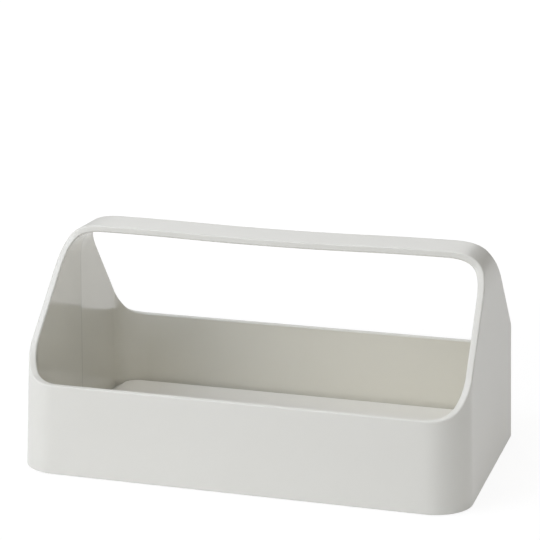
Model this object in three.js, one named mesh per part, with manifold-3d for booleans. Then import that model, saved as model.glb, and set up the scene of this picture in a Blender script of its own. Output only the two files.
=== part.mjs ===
// A moulded storage box: low long walls, and tall ends that bend over into one flat strap handle.
// Millimetres, +Z up. X runs along the handle and Y across it. The origin lies on the table,
// under the middle of the box.

import * as THREE from "three";
import { mergeVertices } from "three/addons/utils/BufferGeometryUtils.js";
import Module from "manifold-3d";

const wasm = await Module();
wasm.setup();

// Shell, measured from the foot of its walls
const LENGTH = 320; // outside, at the foot
const WIDTH = 206; // outside
const HEIGHT = 159.8; // to the two ends of the handle
const RIM_HEIGHT = 64.5; // top of the long walls
const WALL = 4.8; // long walls, rim and handle
const CORNER_RADIUS = 28; // upright corners, outside
const END_LEAN = THREE.MathUtils.degToRad(2.1); // the ends lean in towards the handle
const BEND_REACH = 30; // from where an end and the handle would meet to where the bend begins
const BEND_PULL = 0.76; // how far the bend is drawn out towards that meeting point
const HANDLE_WIDTH = 36;
const HANDLE_DIP = 1.4; // the handle's middle lies this much lower than its ends

// Flank: the edge of an end, seen from the side, from the rim up to the handle
const FLANK_INSET = 4.7; // from the outside of a long wall to where the flank would leave the rim
const FLANK_FOOT_RADIUS = 26.5; // this fillet ends at the outside of the long wall
const FLANK_TOP_RADIUS = 12;
const FLANK_TOP_DROP = 9.3; // below HEIGHT, where the flank would reach the handle's edge

// Floor, pushed up into a recess under the shell and held there by beads
const FLOOR_HEIGHT = 9.1; // top of the base plate
const BASE_THICKNESS = 2.4;
const SKIRT = 2.7; // shell wall left outside the recess
const FIT = 0.3; // clearance between pieces that touch
const BEAD_REACH = 0.9;
const BEAD_HEIGHT = 3;
const BEAD_LENGTH = 30;
const BEAD_SPACING = 160; // between the two beads on a long wall

// Ribs under the base plate
const RIB_THICKNESS = 1.8;
const RIB_DEPTH = 4;
const RIB_EDGE = 4; // from the plate's edge to the ring rib
const LONG_RIB_SPACING = 60;
const CROSS_RIB_SPACING = 75;

// Feet, plugged into round sockets under the base plate
const FOOT_RADIUS = 9;
const FOOT_STAND = 0.8; // the feet reach this far below the walls
const FOOT_EDGE_RADIUS = 1.2;
const FOOT_INSET = 34; // from the outside of the walls to a foot's middle
const SOCKET_WALL = 2;

// Mat, lying loose on the base plate
const MAT_THICKNESS = 1.8;
const MAT_CORNER_RADIUS = 10.5;
const MAT_END_GAP = 1.3; // to the ridge inside each end
const MAT_SIDE_GAP = 3.7; // to the long walls

// Mesh fineness, and how far a cutting body reaches past what it cuts
const CURVE_SEGMENTS = 14;
const CORNER_STEPS = 28;
const FOOT_SEGMENTS = 32;
const FOOT_EDGE_SEGMENTS = 5;
const REACH = 10;

// Sizes that follow from those above
const halfLength = LENGTH / 2;
const halfWidth = WIDTH / 2;
const handleHalf = HANDLE_WIDTH / 2;
const leanSlope = Math.tan(END_LEAN);
const flankFoot = new THREE.Vector2(halfWidth - FLANK_INSET, RIM_HEIGHT);
const flankTop = new THREE.Vector2(handleHalf, HEIGHT - FLANK_TOP_DROP);
const flankAngle = Math.atan2(flankTop.y - flankFoot.y, flankFoot.x - flankTop.x);
const insetDepth = FLANK_INSET * Math.sin(flankAngle); // from the rim's outer edge to the flank
const footAlong = Math.sqrt(insetDepth * (2 * FLANK_FOOT_RADIUS - insetDepth))
  - FLANK_INSET * Math.cos(flankAngle);
const footCentre = new THREE.Vector2(FLANK_FOOT_RADIUS, footAlong)
  .rotateAround(new THREE.Vector2(), Math.PI / 2 - flankAngle)
  .add(flankFoot);
const cornerY = halfWidth - CORNER_RADIUS;
const cornerX = halfLength - CORNER_RADIUS - leanSlope * RIM_HEIGHT; // at the rim
const plateBottom = FLOOR_HEIGHT - BASE_THICKNESS;
const recessTop = FLOOR_HEIGHT + FIT;
const recessHalfLength = halfLength - leanSlope * recessTop - SKIRT;
const recessHalfWidth = halfWidth - SKIRT;
const socketRadius = FOOT_RADIUS + FIT;

// The inside spreads from a ridge in the middle plane, which runs up both ends and under the
// handle. The draft is such that a leaning end keeps its wall thickness all along the flank.
const innerFoot = halfLength - leanSlope * flankFoot.y - WALL;
const innerTop = halfLength - leanSlope * flankTop.y - WALL;
const innerDraft = (innerFoot - innerTop) / (flankFoot.x - flankTop.x);
const ridge = innerTop - innerDraft * flankTop.x;

// The room under the handle, seen from the front in the middle plane
const ridgeWall = WALL + innerDraft * handleHalf;
const roomTop = HEIGHT - ridgeWall;
const roomReach = BEND_REACH - ridgeWall;

function toSolid(geometry) {
  geometry.deleteAttribute("normal");
  geometry.deleteAttribute("uv");
  const merged = mergeVertices(geometry);
  const vertProperties = new Float32Array(merged.attributes.position.array);
  const triVerts = new Uint32Array(merged.index.array);
  return new wasm.Manifold(new wasm.Mesh({ numProp: 3, vertProperties, triVerts }));
}

function toGeometry(solid) {
  const mesh = solid.getMesh();
  const geometry = new THREE.BufferGeometry();
  geometry.setAttribute("position", new THREE.BufferAttribute(mesh.vertProperties, mesh.numProp));
  geometry.setIndex(new THREE.BufferAttribute(mesh.triVerts, 1));
  geometry.computeVertexNormals();
  return geometry;
}

function extrude(shape, depth, steps = 1) {
  const settings = { depth, steps, bevelEnabled: false, curveSegments: CURVE_SEGMENTS };
  return new THREE.ExtrudeGeometry(shape, settings);
}

// A plan outline in X and Y, standing from one height to another
function uprightPrism(plan, bottom, top) {
  return extrude(plan, top - bottom).translate(0, 0, bottom);
}

// An outline in X and Z, running across the box in two steps from the middle plane
function crossPrism(outline, length) {
  return extrude(outline, length, 2).rotateX(Math.PI / 2).translate(0, length / 2, 0);
}

// An outline in Y and Z, running along the box
function lengthwisePrism(outline, length) {
  return extrude(outline, length)
    .rotateX(Math.PI / 2)
    .rotateZ(Math.PI / 2)
    .translate(-length / 2, 0, 0);
}

function block(lengthX, lengthY, bottom, top) {
  const geometry = new THREE.BoxGeometry(lengthX, lengthY, top - bottom);
  return geometry.translate(0, 0, (top + bottom) / 2);
}

// A rectangle with round corners. With a draft, each end is two straight edges that meet at its
// middle and spread outwards from there.
function planOutline(endX, sideY, radius, draft = 0) {
  const turn = Math.atan(draft);
  const centreY = sideY - radius;
  const centreX = endX + draft * centreY - radius / Math.cos(turn);
  const plan = new THREE.Shape();
  plan.absarc(centreX, -centreY, radius, -Math.PI / 2, turn, false);
  plan.lineTo(endX, 0);
  plan.absarc(centreX, centreY, radius, -turn, Math.PI / 2, false);
  plan.absarc(-centreX, centreY, radius, Math.PI / 2, Math.PI + turn, false);
  plan.lineTo(-endX, 0);
  plan.absarc(-centreX, -centreY, radius, Math.PI - turn, 1.5 * Math.PI, false);
  plan.closePath();
  return plan;
}

// The front outline over both bends and the handle. The ends would meet the handle at a corner,
// and the bends begin at a reach from it. Below the bends the outline is wider than the box.
function hoopOutline(meetX, top, reach, lean) {
  const beginX = meetX + reach * Math.sin(lean);
  const beginZ = top - reach * Math.cos(lean);
  const pullX = beginX - BEND_PULL * reach * Math.sin(lean);
  const pullZ = beginZ + BEND_PULL * reach * Math.cos(lean);
  const endX = meetX - reach;
  const pullEndX = endX + BEND_PULL * reach;
  const farX = halfLength + REACH;
  const outline = new THREE.Shape();
  outline.moveTo(farX, -REACH);
  outline.lineTo(farX, beginZ);
  outline.lineTo(beginX, beginZ);
  outline.bezierCurveTo(pullX, pullZ, pullEndX, top, endX, top);
  outline.bezierCurveTo(endX / 2, top, endX / 2, top - HANDLE_DIP, 0, top - HANDLE_DIP);
  outline.bezierCurveTo(-endX / 2, top - HANDLE_DIP, -endX / 2, top, -endX, top);
  outline.bezierCurveTo(-pullEndX, top, -pullX, pullZ, -beginX, beginZ);
  outline.lineTo(-farX, beginZ);
  outline.lineTo(-farX, -REACH);
  outline.closePath();
  return outline;
}

// The room under the handle spreads outwards as it leaves the middle plane
function spreadRoom(geometry) {
  const position = geometry.attributes.position;
  for (let i = 0; i < position.count; i += 1) {
    const x = position.getX(i);
    const z = position.getZ(i);
    const outX = Math.max(Math.abs(x) - ridge + roomReach, 0);
    const outZ = Math.max(z - roomTop + roomReach, 0);
    const spread = innerDraft * Math.abs(position.getY(i)) / roomReach;
    position.setX(i, x + Math.sign(x) * spread * outX);
    position.setZ(i, z + spread * outZ);
  }
  return geometry;
}

// What is open above a long wall and beside the handle, seen along X, on the side of +Y
function sideOpeningOutline() {
  const topTangent = FLANK_TOP_RADIUS * Math.tan((Math.PI / 2 - flankAngle) / 2);
  const flankNormal = -Math.PI / 2 - flankAngle;
  const outline = new THREE.Shape();
  outline.moveTo(halfWidth + REACH, HEIGHT + REACH);
  outline.lineTo(halfWidth + REACH, RIM_HEIGHT);
  const footBegin = Math.atan2(RIM_HEIGHT - footCentre.y, halfWidth - footCentre.x);
  outline.absarc(footCentre.x, footCentre.y, FLANK_FOOT_RADIUS, footBegin, flankNormal, true);
  outline.absarc(
    handleHalf + FLANK_TOP_RADIUS, flankTop.y + topTangent,
    FLANK_TOP_RADIUS, flankNormal, -Math.PI, true,
  );
  outline.lineTo(handleHalf, HEIGHT + REACH);
  outline.closePath();
  return outline;
}

// The flank's height at a distance from the middle plane, up to where it is straight
function flankHeight(y) {
  const outY = footCentre.x - y;
  if (outY < FLANK_FOOT_RADIUS * Math.sin(flankAngle)) {
    return footCentre.y - Math.sqrt(FLANK_FOOT_RADIUS ** 2 - outY ** 2);
  }
  return RIM_HEIGHT + (flankFoot.x - y) * Math.tan(flankAngle);
}

// A solid through a row of sections, each the same number of points
function loft(sections) {
  const count = sections[0].length;
  const index = [];
  const addQuad = (a, b, c, d) => index.push(a, b, c, a, c, d);
  for (let i = 0; i + 1 < sections.length; i += 1) {
    for (let k = 0; k < count; k += 1) {
      const here = i * count + k;
      const beside = i * count + (k + 1) % count;
      addQuad(here, beside, beside + count, here + count);
    }
  }
  const last = (sections.length - 1) * count;
  for (let k = 1; k + 1 < count; k += 1) {
    index.push(0, k + 1, k);
    index.push(last, last + k, last + k + 1);
  }
  const geometry = new THREE.BufferGeometry().setFromPoints(sections.flat());
  geometry.setIndex(index);
  return geometry;
}

// What is open above the round corner at +X and +Y. There the rim is level across the wall, and
// as high as the flank is on the outside.
function cornerOpening() {
  const near = CORNER_RADIUS - 1.5 * WALL;
  const far = CORNER_RADIUS + WALL / 2;
  const high = HEIGHT + REACH;
  const sections = [];
  for (let i = 0; i <= CORNER_STEPS; i += 1) {
    const turn = (Math.PI / 2) * (i / CORNER_STEPS);
    const low = flankHeight(cornerY + CORNER_RADIUS * Math.cos(turn));
    const place = (radius, z) => (
      new THREE.Vector3(cornerX + radius * Math.sin(turn), cornerY + radius * Math.cos(turn), z)
    );
    sections.push([place(near, low), place(far, low), place(far, high), place(near, high)]);
  }
  return loft(sections);
}

// What is open above the rim on the side of +Y, from one round corner to the other
function rimOpenings() {
  const depth = CORNER_RADIUS + REACH;
  const overWall = block(2 * cornerX, depth, RIM_HEIGHT, HEIGHT + REACH);
  const corner = toSolid(cornerOpening());
  return [toSolid(overWall.translate(0, cornerY + depth / 2, 0)), corner, corner.mirror([1, 0, 0])];
}

// The ends of an upright prism lean in as it rises
function leanEnds(geometry) {
  const position = geometry.attributes.position;
  for (let i = 0; i < position.count; i += 1) {
    const x = position.getX(i);
    position.setX(i, x - Math.sign(x) * leanSlope * position.getZ(i));
  }
  return geometry;
}

// Wedges inside the recess that snap under the base plate's edge
function retainingBeads() {
  const top = plateBottom - FIT;
  const section = new THREE.Shape();
  section.moveTo(SKIRT / 2, top);
  section.lineTo(0, top);
  section.lineTo(-BEAD_REACH, top - BEAD_REACH / 2);
  section.lineTo(0, top - BEAD_HEIGHT);
  section.lineTo(SKIRT / 2, top - BEAD_HEIGHT);
  section.closePath();
  const places = [
    { x: BEAD_SPACING / 2, y: recessHalfWidth, turn: 0 },
    { x: -BEAD_SPACING / 2, y: recessHalfWidth, turn: 0 },
    { x: BEAD_SPACING / 2, y: -recessHalfWidth, turn: Math.PI },
    { x: -BEAD_SPACING / 2, y: -recessHalfWidth, turn: Math.PI },
    { x: recessHalfLength, y: 0, turn: -Math.PI / 2 },
    { x: -recessHalfLength, y: 0, turn: Math.PI / 2 },
  ];
  return places.map(({ x, y, turn }) => {
    const bead = lengthwisePrism(section, BEAD_LENGTH);
    return toSolid(bead.rotateZ(turn).translate(x, y, 0));
  });
}

function makeShell() {
  const plan = planOutline(halfLength, halfWidth, CORNER_RADIUS);
  const walls = toSolid(leanEnds(uprightPrism(plan, 0, HEIGHT + REACH)));
  const meetX = halfLength - leanSlope * HEIGHT;
  const crownOutline = hoopOutline(meetX, HEIGHT, BEND_REACH, END_LEAN);
  const crown = toSolid(crossPrism(crownOutline, WIDTH + REACH));

  const insidePlan = planOutline(ridge, halfWidth - WALL, CORNER_RADIUS - WALL, innerDraft);
  const inside = toSolid(uprightPrism(insidePlan, -REACH, HEIGHT));
  const roomOutline = hoopOutline(ridge, roomTop, roomReach, 0);
  const underHandle = toSolid(spreadRoom(crossPrism(roomOutline, WIDTH + REACH)));

  const sideLength = LENGTH + 2 * REACH;
  const backOpening = toSolid(lengthwisePrism(sideOpeningOutline(), sideLength));
  const frontOpening = toSolid(lengthwisePrism(sideOpeningOutline(), sideLength).rotateZ(Math.PI));

  const recessPlan = planOutline(recessHalfLength, recessHalfWidth, CORNER_RADIUS - SKIRT);
  const recess = toSolid(uprightPrism(recessPlan, -REACH, recessTop));

  let shell = walls.intersect(crown);
  shell = shell.subtract(inside.intersect(underHandle));
  shell = shell.subtract(backOpening).subtract(frontOpening).subtract(recess);
  for (const opening of rimOpenings()) {
    shell = shell.subtract(opening).subtract(opening.mirror([0, 1, 0]));
  }
  for (const bead of retainingBeads()) {
    shell = shell.add(bead);
  }
  return toGeometry(shell);
}

// The four feet's middles, by the name of their corner
function footPlaces() {
  const places = [];
  for (const [sideName, side] of [["front", -1], ["back", 1]]) {
    for (const [endName, end] of [["left", -1], ["right", 1]]) {
      const x = end * (halfLength - FOOT_INSET);
      const y = side * (halfWidth - FOOT_INSET);
      places.push({ name: `foot_${sideName}_${endName}`, x, y });
    }
  }
  return places;
}

function makeBasePlate() {
  const edgeX = recessHalfLength - FIT;
  const edgeY = recessHalfWidth - FIT;
  const edgeRadius = CORNER_RADIUS - SKIRT - FIT;
  const ribBottom = plateBottom - RIB_DEPTH;
  const ribTop = FLOOR_HEIGHT - BASE_THICKNESS / 2;
  const insetPlan = (inset) => planOutline(edgeX - inset, edgeY - inset, edgeRadius - inset);

  let base = toSolid(uprightPrism(insetPlan(0), plateBottom, FLOOR_HEIGHT));
  const ringOutside = toSolid(uprightPrism(insetPlan(RIB_EDGE), ribBottom, ribTop));
  const ringHole = insetPlan(RIB_EDGE + RIB_THICKNESS);
  const ringInside = toSolid(uprightPrism(ringHole, ribBottom - REACH, plateBottom));
  base = base.add(ringOutside.subtract(ringInside));

  const ribReach = RIB_EDGE + RIB_THICKNESS / 2;
  for (const side of [-0.5, 0.5]) {
    const rib = block(2 * (edgeX - ribReach), RIB_THICKNESS, ribBottom, ribTop);
    base = base.add(toSolid(rib.translate(0, side * LONG_RIB_SPACING, 0)));
  }
  for (const step of [-1, 0, 1]) {
    const rib = block(RIB_THICKNESS, 2 * (edgeY - ribReach), ribBottom, ribTop);
    base = base.add(toSolid(rib.translate(step * CROSS_RIB_SPACING, 0, 0)));
  }

  const socketTop = ribTop - plateBottom;
  for (const { x, y } of footPlaces()) {
    const profile = [
      new THREE.Vector2(socketRadius, -RIB_DEPTH),
      new THREE.Vector2(socketRadius + SOCKET_WALL, -RIB_DEPTH),
      new THREE.Vector2(socketRadius + SOCKET_WALL, socketTop),
      new THREE.Vector2(socketRadius, socketTop),
      new THREE.Vector2(socketRadius, -RIB_DEPTH),
    ];
    const socket = new THREE.LatheGeometry(profile, FOOT_SEGMENTS).rotateX(Math.PI / 2);
    base = base.add(toSolid(socket.translate(x, y, plateBottom)));
  }
  return toGeometry(base);
}

function makeFoot() {
  const top = plateBottom - FIT;
  const edge = new THREE.EllipseCurve(
    FOOT_RADIUS - FOOT_EDGE_RADIUS, FOOT_EDGE_RADIUS - FOOT_STAND,
    FOOT_EDGE_RADIUS, FOOT_EDGE_RADIUS, -Math.PI / 2, 0,
  );
  const profile = [
    new THREE.Vector2(0, -FOOT_STAND),
    ...edge.getPoints(FOOT_EDGE_SEGMENTS),
    new THREE.Vector2(FOOT_RADIUS, top),
    new THREE.Vector2(0, top),
  ];
  return new THREE.LatheGeometry(profile, FOOT_SEGMENTS).rotateX(Math.PI / 2);
}

// The mat's own outline, kept clear of the shell's inside corners
function makeMat() {
  const sideY = halfWidth - WALL - MAT_SIDE_GAP;
  const plan = planOutline(ridge - MAT_END_GAP, sideY, MAT_CORNER_RADIUS);
  const cornerRadius = CORNER_RADIUS - WALL - FIT;
  const inside = planOutline(ridge - FIT, halfWidth - WALL - FIT, cornerRadius, innerDraft);
  const bottom = FLOOR_HEIGHT + FIT;
  const top = bottom + MAT_THICKNESS;
  const mat = toSolid(uprightPrism(plan, bottom, top));
  return toGeometry(mat.intersect(toSolid(uprightPrism(inside, bottom - REACH, top + REACH))));
}

const shellPlastic = { color: 0xdbdbd8, roughness: 0.35, metalness: 0 };
const basePlastic = { color: 0xd2d2ce, roughness: 0.45, metalness: 0 };
const matRubber = { color: 0xc6c4c0, roughness: 0.9, metalness: 0 };
const footRubber = { color: 0x9b9a95, roughness: 0.8, metalness: 0 };

function addPiece(group, name, geometry, finish) {
  const mesh = new THREE.Mesh(geometry, new THREE.MeshStandardMaterial(finish));
  mesh.name = name;
  group.add(mesh);
  return mesh;
}

const box = new THREE.Group();
box.position.z = FOOT_STAND;
addPiece(box, "shell", makeShell(), shellPlastic);
addPiece(box, "base_plate", makeBasePlate(), basePlastic);
addPiece(box, "floor_mat", makeMat(), matRubber);
for (const { name, x, y } of footPlaces()) {
  const foot = addPiece(box, name, makeFoot(), footRubber);
  foot.position.set(x, y, 0);
}

export default box;
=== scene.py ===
"""Looks of a moulded storage box with a strap handle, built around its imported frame.

Metres, in the frame's own axes: X runs along the handle, Y across it and Z up from the table.
"""

from __future__ import annotations

import logging
import math
from dataclasses import dataclass
from enum import Enum

import bmesh
import bpy
from mathutils import Matrix, Vector


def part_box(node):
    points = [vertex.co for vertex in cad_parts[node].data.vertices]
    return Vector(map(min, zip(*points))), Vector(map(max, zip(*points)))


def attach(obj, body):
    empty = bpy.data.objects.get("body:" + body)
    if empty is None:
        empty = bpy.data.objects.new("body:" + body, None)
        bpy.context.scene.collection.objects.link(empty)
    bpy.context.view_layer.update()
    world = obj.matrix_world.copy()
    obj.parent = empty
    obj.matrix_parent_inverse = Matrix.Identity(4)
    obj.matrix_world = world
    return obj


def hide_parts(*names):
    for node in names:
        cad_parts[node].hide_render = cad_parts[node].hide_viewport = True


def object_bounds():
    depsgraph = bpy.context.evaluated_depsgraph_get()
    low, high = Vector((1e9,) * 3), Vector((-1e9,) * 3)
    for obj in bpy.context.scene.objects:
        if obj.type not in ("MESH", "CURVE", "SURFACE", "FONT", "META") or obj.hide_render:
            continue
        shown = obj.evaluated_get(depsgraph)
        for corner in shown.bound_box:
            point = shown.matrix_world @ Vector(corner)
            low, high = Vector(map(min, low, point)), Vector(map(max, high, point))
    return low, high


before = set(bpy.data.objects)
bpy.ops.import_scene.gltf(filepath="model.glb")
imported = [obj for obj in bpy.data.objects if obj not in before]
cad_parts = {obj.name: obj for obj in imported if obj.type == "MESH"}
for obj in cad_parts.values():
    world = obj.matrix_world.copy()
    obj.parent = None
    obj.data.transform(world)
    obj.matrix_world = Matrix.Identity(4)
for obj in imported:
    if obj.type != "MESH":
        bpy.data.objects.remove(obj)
CAD_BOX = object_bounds()

MM = 0.001
PHOTO_WIDTH = 540  # pixels
SENSOR_WIDTH = 36  # millimetres
WELD = 2e-6
SHARP = math.radians(35)
DRAW_STRETCH = 0.2  # ripples in moulded plastic run along the draw, which is upwards
FLECK_GRAINS = 10 / 3  # how many grains long a patch of even gloss is
ROUGH_SWING = 0.2  # how far the plastic's roughness varies, as a share of it
RUBBER_ROUGH_SWING = 0.1  # how much rougher the rubber is between its grains
SETTLE_ROUNDS = 4  # rounds that settle a place which depends on its own height
HALVINGS = 40  # halvings that find a place on a bend
BELOW_BEND = -0.2  # a way on the hoop that is surely below the bend

Colour = tuple[float, float, float]
Socket = bpy.types.NodeSocket
Grid = list[list[Vector]]
log = logging.getLogger("storage_box")


class Stretch(Enum):
    """The stretches of a quarter of the plan, from the middle of a long wall to that of an end."""

    SIDE = "long wall"
    CORNER = "corner"
    END = "end, outside the handle's width"
    MIDDLE = "end, under the handle"


class Side(Enum):
    """The two sides of the shell, with their places among its materials."""

    OUTSIDE = 0
    INSIDE = 1


class Body(Enum):
    """The bodies of the frame that pieces ride on."""

    BOX = "box"
    MAT = "mat"


class NodeMaker:
    """Adds and links nodes in one node tree."""

    def __init__(self, tree: bpy.types.NodeTree) -> None:
        """Works on this tree."""
        self.tree = tree

    def add(self, kind: str, inputs: dict[str | int, object] | None = None,
            **settings: object) -> bpy.types.Node:
        """Adds a node.

        Args:
            kind: Blender's name of the node's type.
            inputs: what each input takes, by its name or place: a socket to link, or a value.
            settings: the node's own properties.

        Returns:
            The new node.
        """
        node = self.tree.nodes.new(kind)
        for name, value in settings.items():
            setattr(node, name, value)
        for key, value in (inputs or {}).items():
            if isinstance(value, Socket):
                self.tree.links.new(value, node.inputs[key])
            else:
                node.inputs[key].default_value = value
        return node

    def math(self, operation: str, *values: object) -> Socket:
        """Adds a Math node and returns its result."""
        inputs = dict(enumerate(values))
        return self.add("ShaderNodeMath", inputs, operation=operation).outputs[0]

    def noise(self, place: Socket, size: float, detail: float) -> Socket:
        """Soft noise with features of a size."""
        inputs = {"Vector": place, "Scale": 1 / size, "Detail": detail}
        return self.add("ShaderNodeTexNoise", inputs).outputs["Fac"]

    def clouded(self, cloud: Socket, colour: Colour, tint: Colour) -> Socket:
        """A colour that varies between two tones with a noise."""
        tones = self.add("ShaderNodeMix", {"Factor": cloud}, data_type="RGBA")
        tones.inputs["A"].default_value = (*colour, 1)
        tones.inputs["B"].default_value = (*tint, 1)
        return tones.outputs["Result"]


class GeometryTree(NodeMaker):
    """A Geometry Nodes tree with named sizes, which is run once to give a plain mesh."""

    def __init__(self, name: str) -> None:
        """Starts an empty tree."""
        super().__init__(bpy.data.node_groups.new(name, "GeometryNodeTree"))
        sockets = self.tree.interface
        sockets.new_socket("Geometry", in_out="OUTPUT", socket_type="NodeSocketGeometry")
        self.given = self.add("NodeGroupInput")
        self.result = self.add("NodeGroupOutput")
        self.sizes: dict[str, float] = {}

    def size(self, name: str, value: float) -> Socket:
        """Adds a named size and returns the socket that gives it."""
        sockets = self.tree.interface
        socket = sockets.new_socket(name, in_out="INPUT", socket_type="NodeSocketFloat")
        self.sizes[socket.identifier] = value
        return next(out for out in self.given.outputs if out.identifier == socket.identifier)

    def vector(self, x: object = 0.0, y: object = 0.0, z: object = 0.0) -> Socket:
        """Three numbers as a vector."""
        return self.add("ShaderNodeCombineXYZ", {"X": x, "Y": y, "Z": z}).outputs[0]

    def half(self, value: object) -> Socket:
        """Half of a number."""
        return self.math("MULTIPLY", value, 0.5)

    def minus(self, value: object) -> Socket:
        """A number with its sign changed."""
        return self.math("MULTIPLY", value, -1.0)

    def moved(self, geometry: Socket, by: Socket) -> Socket:
        """Geometry moved by a vector."""
        inputs = {"Geometry": geometry, "Translation": by}
        return self.add("GeometryNodeTransform", inputs).outputs[0]

    def joined(self, *parts: Socket) -> Socket:
        """Several geometries as one."""
        join = self.add("GeometryNodeJoinGeometry")
        for part in parts:
            self.tree.links.new(part, join.inputs[0])
        return join.outputs[0]

    def choice(self, kind: str, options: list[object]) -> Socket:
        """One of several values for each point, by its place in the row of points."""
        index = self.add("GeometryNodeInputIndex").outputs[0]
        switch = self.add("GeometryNodeIndexSwitch", data_type=kind)
        while len(switch.index_switch_items) < len(options):
            switch.index_switch_items.new()
        self.tree.links.new(index, switch.inputs["Index"])
        for socket, option in zip(list(switch.inputs)[1:], options):
            if isinstance(option, Socket):
                self.tree.links.new(option, socket)
            else:
                socket.default_value = option
        return switch.outputs[0]

    def points(self, places: list[Socket]) -> Socket:
        """Points at these places."""
        inputs = {"Count": len(places), "Position": self.choice("VECTOR", places)}
        return self.add("GeometryNodePoints", inputs).outputs[0]

    def line(self, places: list[Socket]) -> Socket:
        """A line from place to place."""
        points = self.points(places)
        return self.add("GeometryNodePointsToCurves", {"Points": points}).outputs[0]

    def rectangle(self, length: object, width: object) -> Socket:
        """A level rectangle, as a curve."""
        inputs = {"Width": length, "Height": width}
        return self.add("GeometryNodeCurvePrimitiveQuadrilateral", inputs).outputs[0]

    def circle(self, radius: object, steps: int) -> Socket:
        """A level circle, as a curve."""
        inputs = {"Resolution": steps, "Radius": radius}
        return self.add("GeometryNodeCurvePrimitiveCircle", inputs).outputs[0]

    def welded(self, geometry: Socket) -> Socket:
        """Geometry with its doubled points merged."""
        inputs = {"Geometry": geometry, "Distance": WELD}
        return self.add("GeometryNodeMergeByDistance", inputs).outputs[0]

    def rounded_rectangle(self, length: object, width: object, radius: object,
                          steps: int) -> Socket:
        """A level rectangle with round corners, as a curve."""
        return self.filleted(self.rectangle(length, width), radius, steps)

    def inset_rectangle(self, length: object, width: object, radius: object, inset: object,
                        steps: int) -> Socket:
        """A rounded rectangle drawn in by an inset on every side."""
        both = self.math("MULTIPLY", inset, 2.0)
        sides = [self.math("SUBTRACT", side, both) for side in (length, width)]
        return self.rounded_rectangle(*sides, self.math("SUBTRACT", radius, inset), steps)

    def filleted(self, curve: Socket, radius: object,
                 steps: int) -> Socket:
        """A line with its corners rounded."""
        inputs = {"Curve": curve, "Radius": radius, "Count": steps, "Limit Radius": True}
        return self.add("GeometryNodeFilletCurve", inputs, mode="POLY").outputs[0]

    def swept(self, path: Socket, profile: Socket) -> Socket:
        """A profile carried along a path."""
        inputs = {"Curve": path, "Profile Curve": profile}
        return self.add("GeometryNodeCurveToMesh", inputs).outputs[0]

    def slab(self, outline: Socket, thickness: Socket,
             edge: Socket, steps: int) -> Socket:
        """A level slab with rounded edges, standing on the outline's level.

        Args:
            outline: its outline without the rounded edge, as a curve.
            thickness: how thick it is.
            edge: how far the rounded edge stands out, and its radius.
            steps: points on each round.

        Returns:
            The closed slab.
        """
        top_y = self.minus(thickness)  # a profile's Y points down along a level path
        corners = [self.vector(0.0, top_y), self.vector(edge, top_y),
                   self.vector(edge, 0.0), self.vector(0.0, 0.0)]
        profile = self.filleted(self.line(corners), edge, steps)
        face = self.add("GeometryNodeFillCurve", {"Curve": outline}, mode="NGONS").outputs[0]
        top = self.moved(face, self.vector(z=thickness))
        bottom = self.add("GeometryNodeFlipFaces", {"Mesh": face}).outputs[0]
        return self.welded(self.joined(self.swept(outline, profile), top, bottom))

    def copies(self, points: Socket, part: Socket,
               turn: Socket | None = None) -> Socket:
        """A part repeated at points, turned about Z where a turn is given."""
        inputs: dict[str | int, object] = {"Points": points, "Instance": part}
        if turn is not None:
            inputs["Rotation"] = self.vector(z=turn)
        return self.add("GeometryNodeInstanceOnPoints", inputs).outputs[0]

    def mesh(self, geometry: Socket, material: bpy.types.Material) -> bpy.types.Mesh:
        """Ends the tree, runs it and returns the plain mesh."""
        real = self.add("GeometryNodeRealizeInstances", {"Geometry": geometry}).outputs[0]
        inputs = {"Geometry": real, "Material": material}
        dressed = self.add("GeometryNodeSetMaterial", inputs).outputs[0]
        self.tree.links.new(dressed, self.result.inputs[0])
        carrier = bpy.data.objects.new(self.tree.name, bpy.data.meshes.new(self.tree.name))
        bpy.context.scene.collection.objects.link(carrier)
        modifier = carrier.modifiers.new("build", "NODES")
        modifier.node_group = self.tree
        for identifier, value in self.sizes.items():
            modifier[identifier] = value
        evaluated = carrier.evaluated_get(bpy.context.evaluated_depsgraph_get())
        mesh = bpy.data.meshes.new_from_object(evaluated)
        carrier.modifiers.remove(modifier)
        bpy.data.objects.remove(carrier)
        close_mesh(mesh)
        return mesh


def close_mesh(mesh: bpy.types.Mesh) -> None:
    """Turns and shades the faces of a finished mesh."""
    build = bmesh.new()
    build.from_mesh(mesh)
    turn_and_shade(build)
    build.to_mesh(mesh)
    build.free()


def turn_and_shade(build: bmesh.types.BMesh) -> None:
    """Turns all faces outwards and shades the rounds smooth and the corners sharp."""
    bmesh.ops.recalc_face_normals(build, faces=build.faces)
    for face in build.faces:
        face.smooth = True
    for edge in build.edges:
        edge.smooth = edge.calc_face_angle(0) < SHARP


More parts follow.
